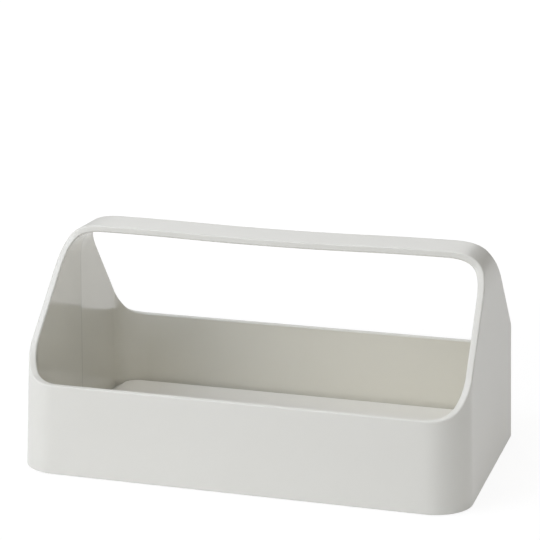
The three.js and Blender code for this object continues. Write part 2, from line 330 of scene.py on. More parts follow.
@dataclass(frozen=True)
class MouldedPlastic:
    """Pale moulded plastic: faint clouds in its colour, a fine grain and soft ripples."""

    name: str
    colour: Colour
    tint: Colour  # the other tone of its faint cloudiness
    cloud: float  # size of a cloud
    roughness: float
    refraction: float  # index of refraction, which sets how strongly it mirrors
    grain: float  # size of a grain
    grain_depth: float
    ripple: float  # length of the soft ripples across the draw
    ripple_depth: float
    painted_parting_width: float = 0.0  # width of a line of painted shade along the mould's parting line across the middle, none where 0
    painted_parting_darkness: float = 0.82  # how dark that painted shade line is beside the rest

    def material(self) -> bpy.types.Material:
        """Builds the material and returns it."""
        material, maker, shader = new_material(self.name)
        shader.inputs["IOR"].default_value = self.refraction
        place = maker.add("ShaderNodeTexCoord").outputs["Object"]

        cloud = maker.noise(place, self.cloud, detail=3.0)
        tone = maker.clouded(cloud, self.colour, self.tint)
        # painted shade: a darker line where the mould's parting line runs, standing in for the shade of
        # its small step
        if self.painted_parting_width:
            tone = self.paint_parting_shade(maker, place, tone)
        maker.tree.links.new(tone, shader.inputs["Base Color"])

        fleck = maker.noise(place, FLECK_GRAINS * self.grain, detail=2.0)
        least = (1 - ROUGH_SWING / 2) * self.roughness
        rough = maker.math("MULTIPLY_ADD", fleck, ROUGH_SWING * self.roughness, least)
        maker.tree.links.new(rough, shader.inputs["Roughness"])

        grain = maker.noise(place, self.grain, detail=2.0)
        fine = maker.add("ShaderNodeBump", {"Height": grain, "Distance": self.grain_depth})
        drawn = maker.add("ShaderNodeMapping", {"Vector": place, "Scale": (1, 1, DRAW_STRETCH)})
        ripple = maker.noise(drawn.outputs[0], self.ripple, detail=0.0)
        wave_inputs = {"Height": ripple, "Distance": self.ripple_depth,
                       "Normal": fine.outputs["Normal"]}
        wave = maker.add("ShaderNodeBump", wave_inputs)
        maker.tree.links.new(wave.outputs["Normal"], shader.inputs["Normal"])
        return material

    def paint_parting_shade(self, maker: NodeMaker, place: Socket,
               tone: Socket) -> Socket:
        """Paints shade in a thin line across the middle, where the two slides of the mould met: the
        darkening stands in for the shade of the small step there.

        Args:
            maker: adds the nodes.
            place: the point on the surface.
            tone: the plastic's colour there.

        Returns:
            The colour with the painted shade line in it.
        """
        across = maker.add("ShaderNodeSeparateXYZ", {0: place}).outputs["Y"]
        off_line = maker.math("DIVIDE", maker.math("ABSOLUTE", across), self.painted_parting_width / 2)
        limits = {"Value": off_line, "From Min": 0.5, "From Max": 1.0,
                  "To Min": self.painted_parting_darkness, "To Max": 1.0}
        painted_shade = maker.add("ShaderNodeMapRange", limits).outputs[0]
        inputs = {0: tone, "Scale": painted_shade}
        return maker.add("ShaderNodeVectorMath", inputs, operation="SCALE").outputs[0]


@dataclass(frozen=True)
class MatteRubber:
    """Soft matte rubber with a fine even grain."""

    name: str
    colour: Colour
    tint: Colour
    roughness: float
    grain: float
    grain_depth: float
    cloud: float

    def material(self) -> bpy.types.Material:
        """Builds the material and returns it."""
        material, maker, shader = new_material(self.name)
        place = maker.add("ShaderNodeTexCoord").outputs["Object"]
        cloud = maker.noise(place, self.cloud, detail=4.0)
        tone = maker.clouded(cloud, self.colour, self.tint)
        maker.tree.links.new(tone, shader.inputs["Base Color"])
        grain_inputs = {"Vector": place, "Scale": 1 / self.grain}
        grain = maker.add("ShaderNodeTexVoronoi", grain_inputs).outputs["Distance"]
        rough = maker.math("MULTIPLY_ADD", grain, RUBBER_ROUGH_SWING, self.roughness)
        maker.tree.links.new(rough, shader.inputs["Roughness"])
        bump = maker.add("ShaderNodeBump", {"Height": grain, "Distance": self.grain_depth})
        maker.tree.links.new(bump.outputs["Normal"], shader.inputs["Normal"])
        return material


def new_material(name: str) -> tuple[bpy.types.Material, NodeMaker, bpy.types.Node]:
    """Starts a node material.

    Args:
        name: the material's name.

    Returns:
        The material, a maker for its nodes, and its shader.
    """
    material = bpy.data.materials.new(name)
    material.use_nodes = True
    shader = material.node_tree.nodes["Principled BSDF"]
    return material, NodeMaker(material.node_tree), shader


@dataclass(frozen=True)
class RoundedPlan:
    """A quarter of a plan outline: half a long side, a round corner and half an end.

    With a draft, the end spreads outwards from the middle plane.
    """

    end_x: float  # in the middle plane
    side_y: float
    radius: float
    draft: float = 0.0

    @property
    def centre(self) -> Vector:
        """The corner's centre."""
        y = self.side_y - self.radius
        x = self.end_x + self.draft * y - self.radius / math.cos(math.atan(self.draft))
        return Vector((x, y, 0))

    @property
    def end_begins(self) -> float:
        """How far from the middle plane the straight end begins."""
        return self.centre.y - self.radius * math.sin(math.atan(self.draft))

    def out_of_corner(self, share: float) -> Vector:
        """The way that the outline faces, at a share of the corner's turn."""
        angle = share * (math.pi / 2 + math.atan(self.draft))
        return Vector((math.sin(angle), math.cos(angle), 0))

    def on_side(self, share: float) -> Vector:
        """A point on the long side, from its middle to the corner."""
        return Vector((share * self.centre.x, self.side_y, 0))

    def on_corner(self, share: float) -> Vector:
        """A point on the corner, from the side to the end."""
        return self.centre + self.out_of_corner(share) * self.radius

    def on_end(self, y: float) -> Vector:
        """A point on the end."""
        return Vector((self.end_x + self.draft * y, y, 0))


@dataclass(frozen=True)
class Flank:
    """The edge of an end, seen along X: the level rim, a fillet, a slope, a fillet, the handle."""

    rim_y: float  # the rim's outer edge, where the lower fillet ends
    foot_y: float  # where the slope would leave the rim
    foot_z: float
    top_y: float  # where it would reach the handle's edge
    top_z: float
    foot_radius: float
    top_radius: float

    @property
    def angle(self) -> float:
        """The slope's angle above the level."""
        return math.atan2(self.top_z - self.foot_z, self.foot_y - self.top_y)

    @property
    def foot_centre(self) -> Vector:
        """Centre of the fillet at the rim, which touches the slope and the rim's outer edge."""
        sine, cosine = math.sin(self.angle), math.cos(self.angle)
        inset = self.rim_y - self.foot_y
        depth = inset * sine
        along = math.sqrt(depth * (2 * self.foot_radius - depth)) - inset * cosine
        y = self.foot_y - along * cosine + self.foot_radius * sine
        return Vector((0, y, self.foot_z + along * sine + self.foot_radius * cosine))

    @property
    def top_centre(self) -> Vector:
        """Centre of the fillet at the handle."""
        tangent = self.top_radius * math.tan((math.pi / 2 - self.angle) / 2)
        return Vector((0, self.top_y + self.top_radius, self.top_z + tangent))

    def height(self, y: float) -> float:
        """The edge's height at a distance from the middle plane."""
        foot, top = self.foot_centre, self.top_centre
        if y >= foot.y - self.foot_radius * math.sin(self.angle):
            return foot.z - math.sqrt(self.foot_radius**2 - (foot.y - y) ** 2)
        if y >= top.y - self.top_radius * math.sin(self.angle):
            return self.foot_z + (self.foot_y - y) * math.tan(self.angle)
        return top.z - math.sqrt(max(self.top_radius**2 - (top.y - y) ** 2, 0))

    def half_width(self, z: float) -> float:
        """How far the edge is from the middle plane at a height on the slope or above it."""
        top = self.top_centre
        if z >= top.z:
            return self.top_y
        if z >= top.z - self.top_radius * math.cos(self.angle):
            return top.y - math.sqrt(self.top_radius**2 - (top.z - z) ** 2)
        return self.foot_y - (z - self.foot_z) / math.tan(self.angle)


@dataclass(frozen=True)
class Hoop:
    """The front outline over one bend, which is the way from 0 to 1, and half the handle, to 2.

    The end and the handle would meet at a corner, and the bend is drawn out towards it.
    """

    centre_x: float  # the bend ends above here
    centre_z: float
    reach: float  # from the bend's two ends to the corner
    pull: float  # how far the bend is drawn out
    lean: float  # of the end
    dip: float  # how much lower the handle's middle lies than its ends
    spread: float = 0.0  # growth of the reach with the distance from the middle plane

    def bend_points(self, y: float) -> list[Vector]:
        """The four points that draw the bend as a curve."""
        reach = self.reach + self.spread * y
        corner = Vector((self.centre_x + reach, y, self.centre_z + reach))
        down = Vector((math.sin(self.lean), 0, -math.cos(self.lean)))
        along = Vector((-1, 0, 0))
        near = (1 - self.pull) * reach
        return [corner + down * reach, corner + down * near,
                corner + along * near, corner + along * reach]

    def place(self, way: float, y: float) -> Vector:
        """The point at a way and a distance from the middle plane."""
        a, b, c, d = self.bend_points(y)
        if way <= 1:
            rest = 1 - way
            return a * rest**3 + b * (3 * way * rest**2) + c * (3 * way**2 * rest) + d * way**3
        along = way - 1
        x = self.centre_x * ((1 - along) ** 3 + 1.5 * along * (1 - along))
        drop = self.dip * (3 * along**2 - 2 * along**3)
        return Vector((x, y, d.z - drop))

    def faces(self, way: float) -> Vector:
        """The way out of the outline."""
        if way <= 1:
            a, b, c, d = self.bend_points(0)
            rest = 1 - way
            tangent = (b - a) * rest**2 + (c - b) * (2 * way * rest) + (d - c) * way**2
            return Vector((tangent.z, 0, -tangent.x)).normalized()
        along = way - 1
        x = self.centre_x * (1.5 * (1 - 2 * along) - 3 * (1 - along) ** 2)
        z = -6 * self.dip * along * (1 - along)
        return Vector((z, 0, -x)).normalized()

    def way_of(self, place: Vector) -> float:
        """The way on the bend that lies in the same direction as a place, seen from the centre."""
        sought = math.atan2(place.z - self.centre_z, place.x - self.centre_x)
        low, high = BELOW_BEND, 1.0
        for _ in range(HALVINGS):
            middle = (low + high) / 2
            tried = self.place(middle, 0)
            if math.atan2(tried.z - self.centre_z, tried.x - self.centre_x) < sought:
                low = middle
            else:
                high = middle
        return low


@dataclass
class RimStation:
    """A place along the rim: its two sharp edges, and the faces that meet there."""

    outer: Vector
    inner: Vector
    outer_faces: Vector
    inner_faces: Vector
    column: PlanColumn | None  # the wall below it, or none over the bend and the handle
    way: float  # along the hoop, or 0 below the bend


@dataclass
class PlanColumn:
    """A place in the plan where a wall stands: outside, inside, and in the recess under it."""

    outer: Vector
    inner: Vector
    recess: Vector
    outer_faces: Vector
    inner_faces: Vector
    lean: float  # the share of the ends' lean that the outside follows here


@dataclass
class Shell:
    """The moulding: two low long walls, two tall ends and the strap handle they run into.

    One quarter is worked out and mirrored. Heights are measured from the foot of the walls.
    """

    length: float
    width: float
    height: float
    foot_level: float  # where the walls' foot is in the frame
    outside_finish: MouldedPlastic
    # the inside's finish: real polish, and a warmer colour that is painted shade
    inside_finish: MouldedPlastic
    rim_height: float = 64.5 * MM
    wall: float = 4.8 * MM
    corner_radius: float = 28 * MM
    end_lean: float = math.radians(2.1)
    bend_reach: float = 30 * MM
    bend_pull: float = 0.76
    handle_width: float = 36 * MM
    handle_dip: float = 1.4 * MM
    flank_inset: float = 4.7 * MM
    flank_foot_radius: float = 26.5 * MM
    flank_top_radius: float = 12 * MM
    flank_top_drop: float = 9.3 * MM
    recess_top: float = 9.4 * MM
    skirt: float = 2.7 * MM
    rim_round: float = 1.1 * MM
    foot_round: float = 0.7 * MM
    side_steps: int = 12
    corner_steps: int = 26
    end_steps: int = 12
    middle_steps: int = 8
    bend_steps: int = 22
    handle_steps: int = 24
    round_steps: int = 6
    foot_steps: int = 4
    wall_rows: tuple[float, ...] = (0, 0.015, 0.15, 0.3, 0.45, 0.6, 0.75, 0.9, 0.985, 1)
    rim_rows: tuple[float, ...] = (0.2, 0.8)

    def __post_init__(self) -> None:
        """Works out the outlines from the sizes."""
        half = self.length / 2
        side = self.width / 2
        grip = self.handle_width / 2
        slope = math.tan(self.end_lean)
        self.flank = Flank(side, side - self.flank_inset, self.rim_height,
                           grip, self.height - self.flank_top_drop,
                           self.flank_foot_radius, self.flank_top_radius)
        inner_foot = half - slope * self.flank.foot_z - self.wall
        inner_top = half - slope * self.flank.top_z - self.wall
        draft = (inner_foot - inner_top) / (self.flank.foot_y - self.flank.top_y)
        ridge = inner_top - draft * self.flank.top_y

        recess_end = half - slope * self.recess_top - self.skirt
        self.outside = RoundedPlan(half, side, self.corner_radius)
        self.inside = RoundedPlan(ridge, side - self.wall, self.corner_radius - self.wall, draft)
        self.recess = RoundedPlan(recess_end, side - self.skirt, self.corner_radius - self.skirt)

        meet_x = half - slope * self.height
        room = self.bend_reach - self.wall - draft * grip
        bend_z = self.height - self.bend_reach
        self.over = Hoop(meet_x - self.bend_reach, bend_z, self.bend_reach, self.bend_pull,
                         self.end_lean, self.handle_dip)
        self.under = Hoop(ridge - room, bend_z, room, self.bend_pull, 0, self.handle_dip, draft)

    def column(self, stretch: Stretch, share: float) -> PlanColumn:
        """The wall at a share of one stretch of the plan.

        Args:
            stretch: which stretch.
            share: how far along it, from 0 to 1.

        Returns:
            The wall's column there.
        """
        end_y = self.flank.half_width(self.over.place(0, 0).z)
        room_y = self.flank.half_width(self.under.centre_z)
        if stretch is Stretch.SIDE:
            plans = [plan.on_side(share) for plan in (self.outside, self.inside, self.recess)]
            return PlanColumn(*plans, Vector((0, 1, 0)), Vector((0, -1, 0)), share)
        if stretch is Stretch.CORNER:
            plans = [plan.on_corner(share) for plan in (self.outside, self.inside, self.recess)]
            out = self.outside.out_of_corner(share)
            return PlanColumn(*plans, self.leaning(out), -self.inside.out_of_corner(share), 1)
        if stretch is Stretch.END:
            outer_y = self.outside.end_begins * (1 - share) + end_y * share
            inner_y = self.inside.end_begins * (1 - share) + room_y * share
        else:
            outer_y = end_y * (1 - share)
            inner_y = room_y * (1 - share)
        plans = [self.outside.on_end(outer_y), self.inside.on_end(inner_y),
                 self.recess.on_end(outer_y)]
        out = self.leaning(Vector((1, 0, 0)))
        return PlanColumn(*plans, out, -self.inside.out_of_corner(1), 1)

    def leaning(self, out: Vector) -> Vector:
        """The way that a wall faces where it leans with the ends."""
        return Vector((out.x, out.y, out.x * math.tan(self.end_lean))).normalized()

    def outer_place(self, column: PlanColumn, z: float) -> Vector:
        """The outside of a column at a height."""
        shift = math.tan(self.end_lean) * z * column.lean
        return Vector((column.outer.x - shift, column.outer.y, z))

    def inner_place(self, column: PlanColumn, z: float) -> Vector:
        """The inside of a column at a height."""
        return Vector((column.inner.x, column.inner.y, z))

    def wall_station(self, column: PlanColumn) -> RimStation:
        """The rim on top of a column."""
        corner_y = self.outside.centre.y
        level_y = column.inner.y  # where the flank is as high as the rim's inner edge
        if level_y > corner_y:
            level_y = corner_y + (level_y - corner_y) * self.outside.radius / self.inside.radius
        outer = self.outer_place(column, self.flank.height(column.outer.y))
        inner = self.inner_place(column, self.flank.height(level_y))
        return RimStation(outer, inner, column.outer_faces, column.inner_faces, column, 0)

    def hoop_station(self, way: float) -> RimStation:
        """The rim at a way over the bend and along the handle."""
        y = self.flank.half_width(self.over.place(way, 0).z)
        outer = self.over.place(way, y)
        for _ in range(SETTLE_ROUNDS):
            inner = self.under.place(way, y)
            y = self.flank.half_width(inner.z)
        inner = self.under.place(way, y)
        inwards = Vector((0, self.under.spread, 0)) - self.under.faces(way)
        return RimStation(outer, inner, self.over.faces(way), inwards.normalized(), None, way)

    def stations(self) -> list[RimStation]:
        """The rim's stations, from the middle of a long wall to the middle of the handle."""
        walls = [(Stretch.SIDE, k / self.side_steps) for k in range(self.side_steps)]
        walls += [(Stretch.CORNER, k / self.corner_steps) for k in range(self.corner_steps)]
        walls += [(Stretch.END, k / self.end_steps) for k in range(self.end_steps + 1)]
        ways = [(k + 1) / self.bend_steps for k in range(self.bend_steps)]
        ways += [1 + (k + 1) / self.handle_steps for k in range(self.handle_steps)]
        stations = [self.wall_station(self.column(*wall)) for wall in walls]
        return stations + [self.hoop_station(way) for way in ways]

    def rim_section(self, station: RimStation, outer_way: Vector, inner_way: Vector) -> list[Vector]:
        """The rim across one station, from the outside over both rounded edges to the inside.

        Args:
            station: the place along the rim.
            outer_way: the way the outer edge runs there.
            inner_way: the way the inner edge runs there.

        Returns:
            The points across the rim.
        """
        across = station.inner - station.outer
        outer = self.rounded(station.outer, outer_way, across, station.outer_faces)
        inner = self.rounded(station.inner, inner_way, across, station.inner_faces)
        flat = [outer[-1].lerp(inner[-1], share) for share in self.rim_rows]
        return outer + flat + inner[::-1]

    def rounded(self, edge: Vector, along: Vector, across_rim: Vector,
                wall_faces: Vector) -> list[Vector]:
        """An edge of the rim, rounded.

        Args:
            edge: the sharp edge's place.
            along: the way the edge runs.
            across_rim: the way from the rim's outer edge to its inner one.
            wall_faces: the way the wall beside it faces.

        Returns:
            Points on the round, from the wall to the rim's face.
        """
        rim_faces = along.cross(across_rim).normalized()
        if rim_faces.y + rim_faces.z < 0:
            rim_faces.negate()
        down = wall_faces.cross(along).normalized()
        if down.dot(rim_faces) > 0:
            down.negate()
        across = rim_faces.cross(along).normalized()
        if across.dot(wall_faces) > 0:
            across.negate()
        opening = down.angle(across)
        reach = self.rim_round / math.tan(opening / 2)
        middle = edge + (down + across).normalized() * (self.rim_round / math.sin(opening / 2))
        begin = edge + down * reach - middle
        end = edge + across * reach - middle
        shares = [k / self.round_steps for k in range(self.round_steps + 1)]
        return [middle + begin.lerp(end, share).normalized() * self.rim_round for share in shares]

    def wall_points(self, base: list[Vector], top: Vector) -> list[Vector]:
        """Bends a straight column of points so that it ends at the rim's round."""
        shift = top - base[-1]
        return [place + shift * row**2 for place, row in zip(base, self.wall_rows)]

    def outer_wall(self, column: PlanColumn, top: Vector) -> list[Vector]:
        """The outside of a wall from its foot's round to the rim's."""
        heights = [self.foot_round + row * (top.z - self.foot_round) for row in self.wall_rows]
        return self.wall_points([self.outer_place(column, z) for z in heights], top)

    def inner_wall(self, column: PlanColumn, top: Vector) -> list[Vector]:
        """The inside of a wall from the recess to the rim's round."""
        heights = [self.recess_top + row * (top.z - self.recess_top) for row in self.wall_rows]
        return self.wall_points([self.inner_place(column, z) for z in heights], top)

    def strap_row(self, hoop: Hoop, way: float, edge: Vector) -> list[Vector]:
        """A row across the hoop, from the rim's round to the middle plane.

        Args:
            hoop: the outside or the inside of the hoop.
            way: the row's way along it.
            edge: where the rim's round ends.

        Returns:
            The row's points.
        """
        row = [edge]
        turn = 0.0
        if way <= 1:
            turn = hoop.way_of(edge) - way
        for k in range(1, self.middle_steps + 1):
            share = 1 - k / self.middle_steps
            row.append(hoop.place(way + turn * share**2, edge.y * share))
        return row

    def foot_ring(self, column: PlanColumn) -> list[Vector]:
        """Under a wall: the foot's round, the skirt's edge and the recess that the floor sits in."""
        start = self.outer_place(column, self.foot_round)
        out = Vector((column.outer_faces.x, column.outer_faces.y, 0)).normalized()
        middle = start - out * self.foot_round
        ring = []
        for k in range(self.foot_steps + 1):
            angle = math.pi / 2 * k / self.foot_steps
            turned = out * math.cos(angle) - Vector((0, 0, math.sin(angle)))
            ring.append(middle + turned * self.foot_round)
        ring.append(column.recess)
        ring.append(column.recess + Vector((0, 0, self.recess_top)))
        ring.append(self.inner_place(column, self.recess_top))
        return ring

    def patches(self) -> list[tuple[Grid, Side]]:
        """The quarter's surfaces.

        Returns:
            Grids of points, each with the side of the shell that it belongs to.
        """
        stations = self.stations()
        sections = []
        for index, station in enumerate(stations):
            ways = [edge_way(stations, index, side) for side in ("outer", "inner")]
            sections.append(self.rim_section(station, *ways))

        walls = [pair for pair in zip(stations, sections) if pair[0].column]
        straps = [pair for pair in zip(stations, sections) if not pair[0].column]
        last_section = walls[-1][1]
        outer_rows = [self.strap_row(self.over, 0, last_section[0])]
        inner_rows = [self.strap_row(self.under, 0, last_section[-1])]
        for station, section in straps:
            outer_rows.append(self.strap_row(self.over, station.way, section[0]))
            inner_rows.append(self.strap_row(self.under, station.way, section[-1]))

        columns = [station.column for station, _ in walls]
        outer_walls = [self.outer_wall(s.column, section[0]) for s, section in walls]
        inner_walls = [self.inner_wall(s.column, section[-1]) for s, section in walls]
        for k in range(1, self.middle_steps + 1):
            column = self.column(Stretch.MIDDLE, k / self.middle_steps)
            columns.append(column)
            outer_walls.append(self.outer_wall(column, outer_rows[0][k]))
            inner_walls.append(self.inner_wall(column, inner_rows[0][k]))
        feet = [self.foot_ring(column) for column in columns]
        return [(sections, Side.OUTSIDE), (outer_walls, Side.OUTSIDE),
                (outer_rows, Side.OUTSIDE), (feet, Side.OUTSIDE),
                (inner_walls, Side.INSIDE), (inner_rows, Side.INSIDE)]

    def mesh(self) -> bpy.types.Mesh:
        """Builds the whole shell's mesh from its quarter."""
        build = bmesh.new()
        for grid, side in self.patches():
            for mirror in ((1, 1), (-1, 1), (1, -1), (-1, -1)):
                add_grid(build, grid, mirror, self.foot_level, side.value)
        bmesh.ops.remove_doubles(build, verts=build.verts, dist=WELD)
        turn_and_shade(build)
        for edge in build.edges:
            inside = all(face.material_index == Side.INSIDE.value for face in edge.link_faces)
            if inside and all(abs(vert.co.y) < WELD for vert in edge.verts):
                edge.smooth = False  # the ridge up the ends and under the handle
        mesh = bpy.data.meshes.new("shell_moulding")
        build.to_mesh(mesh)
        build.free()
        return mesh

    def build(self) -> bpy.types.Object:
        """Builds the dressed shell and puts it in the CAD shell's place."""
        piece = new_piece("shell_moulding", self.mesh(), Body.BOX)
        for finish in (self.outside_finish, self.inside_finish):
            piece.data.materials.append(finish.material())
        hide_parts("shell")
        return piece


def edge_way(stations: list[RimStation], index: int, side: str) -> Vector:
    """The way one edge of the rim runs at a station.

    Args:
        stations: all of the rim's stations.
        index: which of them.
        side: "outer" or "inner".

    Returns:
        The edge's direction.
    """
    if index in (0, len(stations) - 1):
        return Vector((1, 0, 0))
    after = getattr(stations[index + 1], side)
    before = getattr(stations[index - 1], side)
    here = getattr(stations[index], side)
    return ((after - here).normalized() + (here - before).normalized()).normalized()


def add_grid(build: bmesh.types.BMesh, grid: Grid, mirror: tuple[int, int], level: float,
             material: int) -> None:
    """Adds a grid of points to a mesh as faces.

    Args:
        build: the mesh being built.
        grid: lists of points of one length.
        mirror: 1, or -1 to mirror, in X and in Y.
        level: raises the grid by this much.
        material: the place of the faces' material in the piece's list.
    """
    made = []
    for line in grid:
        places = [(place.x * mirror[0], place.y * mirror[1], place.z + level) for place in line]
        made.append([build.verts.new(place) for place in places])
    for near, far in zip(made, made[1:]):
        for k in range(len(near) - 1):
            face = build.faces.new((near[k], near[k + 1], far[k + 1], far[k]))
            face.material_index = material


def new_piece(name: str, mesh: bpy.types.Mesh, body: Body) -> bpy.types.Object:
    """Makes a piece of the object from a mesh.

    Args:
        name: the piece's name.
        mesh: its mesh, in the frame.
        body: the body that it rides on.

    Returns:
        The piece.
    """
    piece = bpy.data.objects.new(name, mesh)
    bpy.context.scene.collection.objects.link(piece)
    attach(piece, body.value)
    log.info("%s: %d faces, rides on %s", name, len(mesh.polygons), body.value)
    return piece


@dataclass
class FloorMat:
    """The loose mat on the floor, with a soft rounded edge."""

    low: Vector
    high: Vector
    finish: MatteRubber
    corner_radius: float = 10.5 * MM
    edge_round: float = 0.8 * MM
    corner_steps: int = 14
    round_steps: int = 5

    def build(self) -> bpy.types.Object:
        """Builds the mat and puts it in the CAD mat's place."""
        tree = GeometryTree("floor_mat")
        span = self.high - self.low
        length = tree.size("Length", span.x)
        width = tree.size("Width", span.y)
        thickness = tree.size("Thickness", span.z)
        radius = tree.size("Corner radius", self.corner_radius)
        edge = tree.size("Edge round", self.edge_round)
        level = tree.size("Level", self.low.z)
        outline = tree.inset_rectangle(length, width, radius, edge, self.corner_steps)
        slab = tree.slab(outline, thickness, edge, self.round_steps)
        mesh = tree.mesh(tree.moved(slab, tree.vector(z=level)), self.finish.material())
        piece = new_piece("mat_sheet", mesh, Body.MAT)
        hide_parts("floor_mat")
        return piece


@dataclass
class BasePlate:
    """The floor: a plate with ribs under it and a round socket for each foot."""

    low: Vector
    high: Vector
    foot_place: Vector  # the middle of the foot at the back right
    foot_radius: float
    finish: MouldedPlastic
    plate: float = 2.4 * MM
    corner_radius: float = 25 * MM
    edge_round: float = 0.4 * MM
    rib: float = 1.8 * MM
    rib_inset: float = 4 * MM  # from the plate's edge to the ring rib
    rib_root: float = 0.3 * MM  # how far a rib reaches into the plate
    long_ribs: int = 2
    long_rib_spacing: float = 60 * MM
    cross_ribs: int = 3
    cross_rib_spacing: float = 75 * MM
    socket_wall: float = 2 * MM
    socket_gap: float = 0.3 * MM
    corner_steps: int = 14
    round_steps: int = 3
    socket_steps: int = 40

    def build(self) -> bpy.types.Object:
        """Builds the floor and puts it in the CAD floor's place."""
        tree = GeometryTree("base_plate")
        span = self.high - self.low
        length = tree.size("Length", span.x)
        width = tree.size("Width", span.y)
        plate = tree.size("Plate thickness", self.plate)
        radius = tree.size("Corner radius", self.corner_radius)
        edge = tree.size("Edge round", self.edge_round)
        top = tree.size("Top level", self.high.z)
        depth = tree.size("Rib depth", span.z - self.plate + self.rib_root)
        root = tree.size("Rib root", self.rib_root)
        rib = tree.size("Rib thickness", self.rib)
        inset = tree.size("Ring rib inset", self.rib_inset)

        outline = tree.inset_rectangle(length, width, radius, edge, self.corner_steps)
        under = tree.math("SUBTRACT", top, plate)
        slab = tree.moved(tree.slab(outline, plate, edge, self.round_steps), tree.vector(z=under))

        ring_inset = tree.math("ADD", inset, tree.half(rib))
        twice = tree.math("MULTIPLY", ring_inset, 2.0)
        ring_length = tree.math("SUBTRACT", length, twice)
        ring_width = tree.math("SUBTRACT", width, twice)
        ring = tree.rounded_rectangle(
            ring_length, ring_width, tree.math("SUBTRACT", radius, ring_inset), self.corner_steps)
        hang = tree.math("SUBTRACT", tree.math("ADD", under, root), tree.half(depth))
        level = tree.vector(z=hang)
        ribs = [tree.moved(tree.swept(ring, tree.rectangle(rib, depth)), level)]
        long_step = tree.vector(y=tree.size("Long rib spacing", self.long_rib_spacing))
        long_rib = tree.vector(ring_length, rib, depth)
        ribs.append(self.rib_row(tree, long_rib, self.long_ribs, long_step, level))
        cross_step = tree.vector(tree.size("Cross rib spacing", self.cross_rib_spacing))
        cross_rib = tree.vector(rib, ring_width, depth)
        ribs.append(self.rib_row(tree, cross_rib, self.cross_ribs, cross_step, level))

        wall = tree.size("Socket wall", self.socket_wall)
        bore = tree.size("Socket radius", self.foot_radius + self.socket_gap)
        circle = tree.circle(tree.math("ADD", bore, tree.half(wall)), self.socket_steps)
        socket = tree.swept(circle, tree.rectangle(wall, depth))
        corners = four_corners(tree, self.foot_place)
        sockets = tree.moved(tree.copies(corners, socket), level)
        mesh = tree.mesh(tree.joined(slab, *ribs, sockets), self.finish.material())
        piece = new_piece("floor_plate", mesh, Body.BOX)
        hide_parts("base_plate")
        return piece

    def rib_row(self, tree: GeometryTree, size: Socket, count: int,
                step: Socket, level: Socket) -> Socket:
        """A row of like ribs, centred under the plate.

        Args:
            tree: the tree that they are made in.
            size: one rib's size.
            count: how many.
            step: from one rib to the next.
            level: raises them to their place.

        Returns:
            The ribs.
        """
        bar = tree.add("GeometryNodeMeshCube", {"Size": size}).outputs[0]
        row = tree.add("GeometryNodeMeshLine", {"Count": count, "Offset": step}).outputs[0]
        inputs = {0: step, 1: tree.vector(*[-(count - 1) / 2] * 3)}
        back = tree.add("ShaderNodeVectorMath", inputs, operation="MULTIPLY").outputs[0]
        return tree.moved(tree.moved(tree.copies(row, bar), back), level)


def four_corners(tree: GeometryTree, place: Vector) -> Socket:
    """Four points, at a place and at its mirror images in X and Y."""
    inputs = {"Size X": tree.size("Across in X", 2 * place.x),
              "Size Y": tree.size("Across in Y", 2 * place.y), "Vertices X": 2, "Vertices Y": 2}
    return tree.add("GeometryNodeMeshGrid", inputs).outputs[0]


@dataclass
class Feet:
    """Four soft plugs that the box stands on, pushed into the floor's sockets."""

    low: Vector
    high: Vector
    nodes: tuple[str, ...]
    finish: MatteRubber
    edge_round: float = 1.2 * MM
    circle_steps: int = 48
    round_steps: int = 6

    def build(self) -> bpy.types.Object:
        """Builds the feet and puts them in the CAD feet's place."""
        tree = GeometryTree("feet")
        span = self.high - self.low
        edge = tree.size("Edge round", self.edge_round)
        radius = tree.math("SUBTRACT", tree.size("Radius", span.x / 2), edge)
        circle = tree.circle(radius, self.circle_steps)
        foot = tree.slab(circle, tree.size("Height", span.z), edge, self.round_steps)
        corners = four_corners(tree, (self.low + self.high) / 2)
        mesh = tree.mesh(tree.copies(corners, foot), self.finish.material())
        piece = new_piece("feet", mesh, Body.BOX)
        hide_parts(*self.nodes)
        return piece


